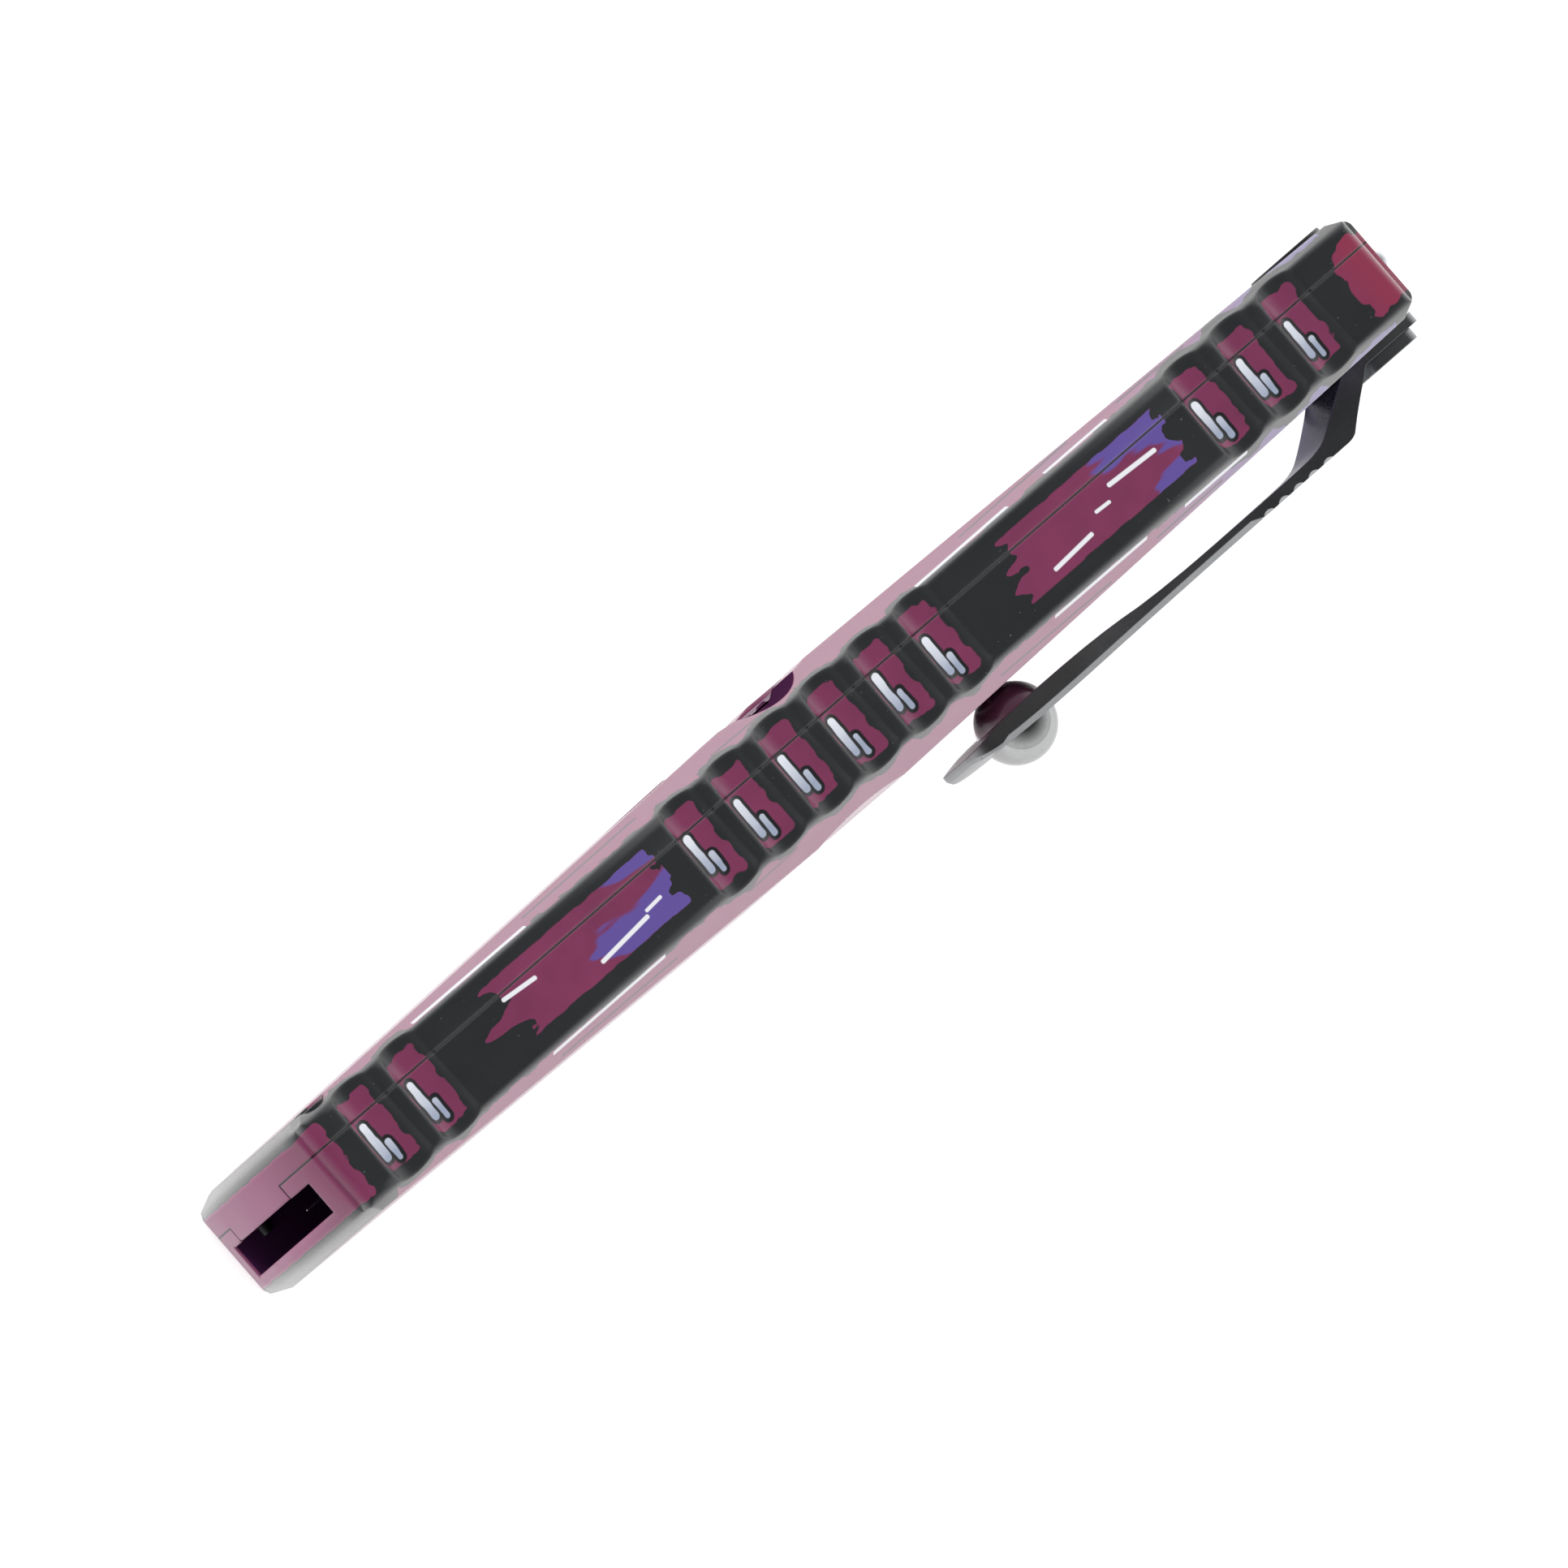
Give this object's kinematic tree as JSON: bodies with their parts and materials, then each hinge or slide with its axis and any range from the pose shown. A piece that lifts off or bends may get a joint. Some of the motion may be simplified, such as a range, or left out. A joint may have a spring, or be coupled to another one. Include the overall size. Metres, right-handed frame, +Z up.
{
  "type": "pocket knife",
  "caption": "Closed out-the-front pocket knife on its spine: two-part metal handle with scalloped grips, thumb slide, sliding dagger blade, pocket clip with ball, glass breaker.",
  "frame": {"origin": "Under the middle of the closed knife's box, on the surface that it stands on with its far spine", "axes": "+X towards the nose where the blade comes out, +Y towards the pocket clip, +Z up to the near spine"},
  "size_m": [0.121, 0.0172, 0.025],
  "materials": {
    "painted_aluminium": "hand-painted satin, charcoal with plum panels",
    "blade_steel": "satin",
    "steel": "satin",
    "black_steel": "satin black",
    "spring_steel": "bright",
    "brass": "satin",
    "slide_paint": "satin plum",
    "polished_steel": "polished",
    "bumper_polymer": "moulded"
  },
  "bodies": {
    "handle": {"handle_body": "painted_aluminium", "handle_cover": "painted_aluminium", "blade_stop_pins": "steel", "rear_bumper": "bumper_polymer", "front_catch_pin": "steel", "rear_catch_pin": "steel", "front_catch_spring": "spring_steel", "rear_catch_spring": "spring_steel", "alignment_dowels": "steel", "cover_screws": "black_steel", "butt_screw": "black_steel", "pocket_clip": "black_steel", "clip_keeper": "black_steel", "clip_ball": "polished_steel", "clip_screws": "black_steel", "glass_breaker": "polished_steel"},
    "slide": {"thumb_slide": "slide_paint", "slide_screw": "steel", "slide_carriage": "steel", "main_spring": "spring_steel", "front_spring_truck": "steel", "rear_spring_truck": "steel"},
    "blade": {"blade": "blade_steel"},
    "front_catch": {"front_catch": "brass"},
    "rear_catch": {"rear_catch": "brass"}
  },
  "joints": [
    {"name": "thumb_slide_travel", "type": "slide", "parent": "handle", "child": "slide", "axis": [1, 0, 0], "range_m": [0, 0.01]},
    {"name": "blade_travel", "type": "slide", "parent": "handle", "child": "blade", "axis": [1, 0, 0], "range_m": [0, 0.0778]},
    {"name": "front_catch_turn", "type": "hinge", "parent": "handle", "child": "front_catch", "pos_m": [0.02965, -0.00404, 0.0206], "axis": [0, 0, 1], "range_deg": [0, 4.5]},
    {"name": "rear_catch_turn", "type": "hinge", "parent": "handle", "child": "rear_catch", "pos_m": [-0.01085, -0.00404, 0.0206], "axis": [0, 0, 1], "range_deg": [-4.5, 0]}
  ],
  "couplings": [
    {"joint": "blade_travel", "follows": "thumb_slide_travel", "ratio": 7.78}
  ]
}
